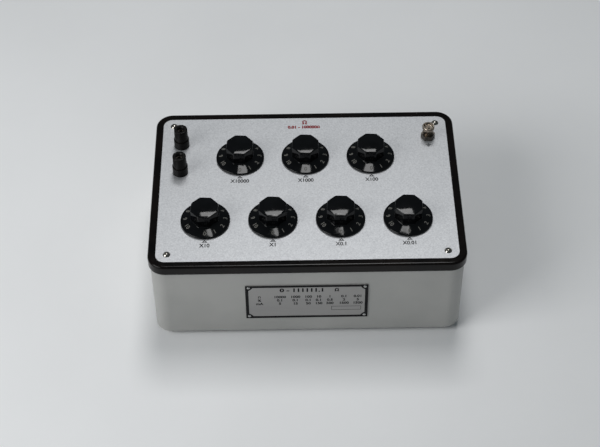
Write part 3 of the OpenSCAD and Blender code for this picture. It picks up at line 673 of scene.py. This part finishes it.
# Border, range, table of values and an empty field on the front plate
plate_print = Markings()
plate_print.add(filled_loops(border_loops()), on_plate(0, 0))
header_v = PLATE_H / 2 - HEADER_DROP
plate_print.add(words(HEADER, HEADER_H, HEADER_BOLD, HEADER_WIDTH), on_plate(HEADER_U, header_v))
plate_print.add(ohm(HEADER_H, HEADER_UNIT_LINE), on_plate(HEADER_UNIT_U, header_v))
row_signs = (ohm(ROW_H, SIGN_LINE), words("%", ROW_H, ROW_BOLD), words("mA", ROW_H, ROW_BOLD))
for drop, sign, numbers in zip(ROW_DROPS, row_signs, ROW_NUMBERS):
    row_v = PLATE_H / 2 - drop
    plate_print.add(sign, on_plate(SIGN_U, row_v))
    for u, number in zip(COLUMNS, numbers):
        plate_print.add(words(number, ROW_H, ROW_BOLD), on_plate(u, row_v))
field = [
    Vector((-FIELD_HALF_W, -FIELD_HALF_H)),
    Vector((FIELD_HALF_W, -FIELD_HALF_H)),
    Vector((FIELD_HALF_W, FIELD_HALF_H)),
    Vector((-FIELD_HALF_W, FIELD_HALF_H)),
]
plate_print.add(outline(field, FIELD_LINE), on_plate(FIELD_U, PLATE_H / 2 - FIELD_DROP))
plate_print.make("plate_markings", "box", MATERIALS["black_ink"])

# Floor
floor_corners = [
    (-FLOOR_HALF, -FLOOR_HALF, 0),
    (FLOOR_HALF, -FLOOR_HALF, 0),
    (FLOOR_HALF, FLOOR_HALF, 0),
    (-FLOOR_HALF, FLOOR_HALF, 0),
]
floor_mesh = bpy.data.meshes.new("floor")
floor_mesh.from_pydata(floor_corners, [], [(0, 1, 2, 3)])
floor = bpy.data.objects.new("floor", floor_mesh)
bpy.context.scene.collection.objects.link(floor)
floor_mesh.materials.append(MATERIALS["floor_pale"])


def softbox(name, place, width, height, power, turn=0.0):
    """A rectangular area light that faces the middle of the panel, turned about its own axis in degrees."""
    data = bpy.data.lights.new(name, "AREA")
    data.shape = "RECTANGLE"
    data.size = width
    data.size_y = height
    data.energy = power
    lamp = bpy.data.objects.new(name, data)
    bpy.context.scene.collection.objects.link(lamp)
    lamp.location = place
    lamp.rotation_mode = "QUATERNION"
    facing = (CENTRE - place).to_track_quat("-Z", "Y")
    lamp.rotation_quaternion = facing @ Quaternion((0, 0, 1), math.radians(turn))


def overhead(tilt, x):
    """A place on an arc over the box, tilted by degrees from straight above towards the back."""
    angle = math.radians(tilt)
    return CENTRE + Vector((x, math.sin(angle) * KEY_DISTANCE, math.cos(angle) * KEY_DISTANCE))


# Light: a softbox above and behind, a wider strip along its rear side, and a soft fill from the front left
softbox("key", overhead(tilt=15.3, x=0.13), width=0.69, height=1.16, power=22.0, turn=-8)
softbox("key_rear", overhead(tilt=29.5, x=0.02), width=0.92, height=0.4, power=10.4, turn=5)
softbox("fill", FILL_PLACE, width=0.8, height=0.8, power=9.6)
world = bpy.data.worlds.new("studio")
bpy.context.scene.world = world
world.use_nodes = True
world.node_tree.nodes["Background"].inputs["Color"].default_value = WORLD_COLOR

# Camera
back = Vector((
    math.sin(CAMERA_YAW) * math.cos(CAMERA_PITCH),
    -math.cos(CAMERA_YAW) * math.cos(CAMERA_PITCH),
    math.sin(CAMERA_PITCH),
))
across = Vector((math.cos(CAMERA_YAW), math.sin(CAMERA_YAW), 0))
upward = back.cross(across)
right = across * math.cos(CAMERA_ROLL) + upward * math.sin(CAMERA_ROLL)
up = upward * math.cos(CAMERA_ROLL) - across * math.sin(CAMERA_ROLL)
camera_data = bpy.data.cameras.new("camera")
camera_data.sensor_width = SENSOR_W
camera_data.lens = FOCAL_PX / PHOTO_W * SENSOR_W
camera_data.shift_x = -SHIFT_X_PX / PHOTO_W
camera_data.shift_y = SHIFT_Y_PX / PHOTO_W
camera = bpy.data.objects.new("camera", camera_data)
bpy.context.scene.collection.objects.link(camera)
axes = Matrix((right, up, back)).transposed().to_4x4()
camera.matrix_world = Matrix.Translation(CENTRE + back * CAMERA_DISTANCE) @ axes
bpy.context.scene.camera = camera
bpy.context.scene.view_settings.view_transform = "Standard"
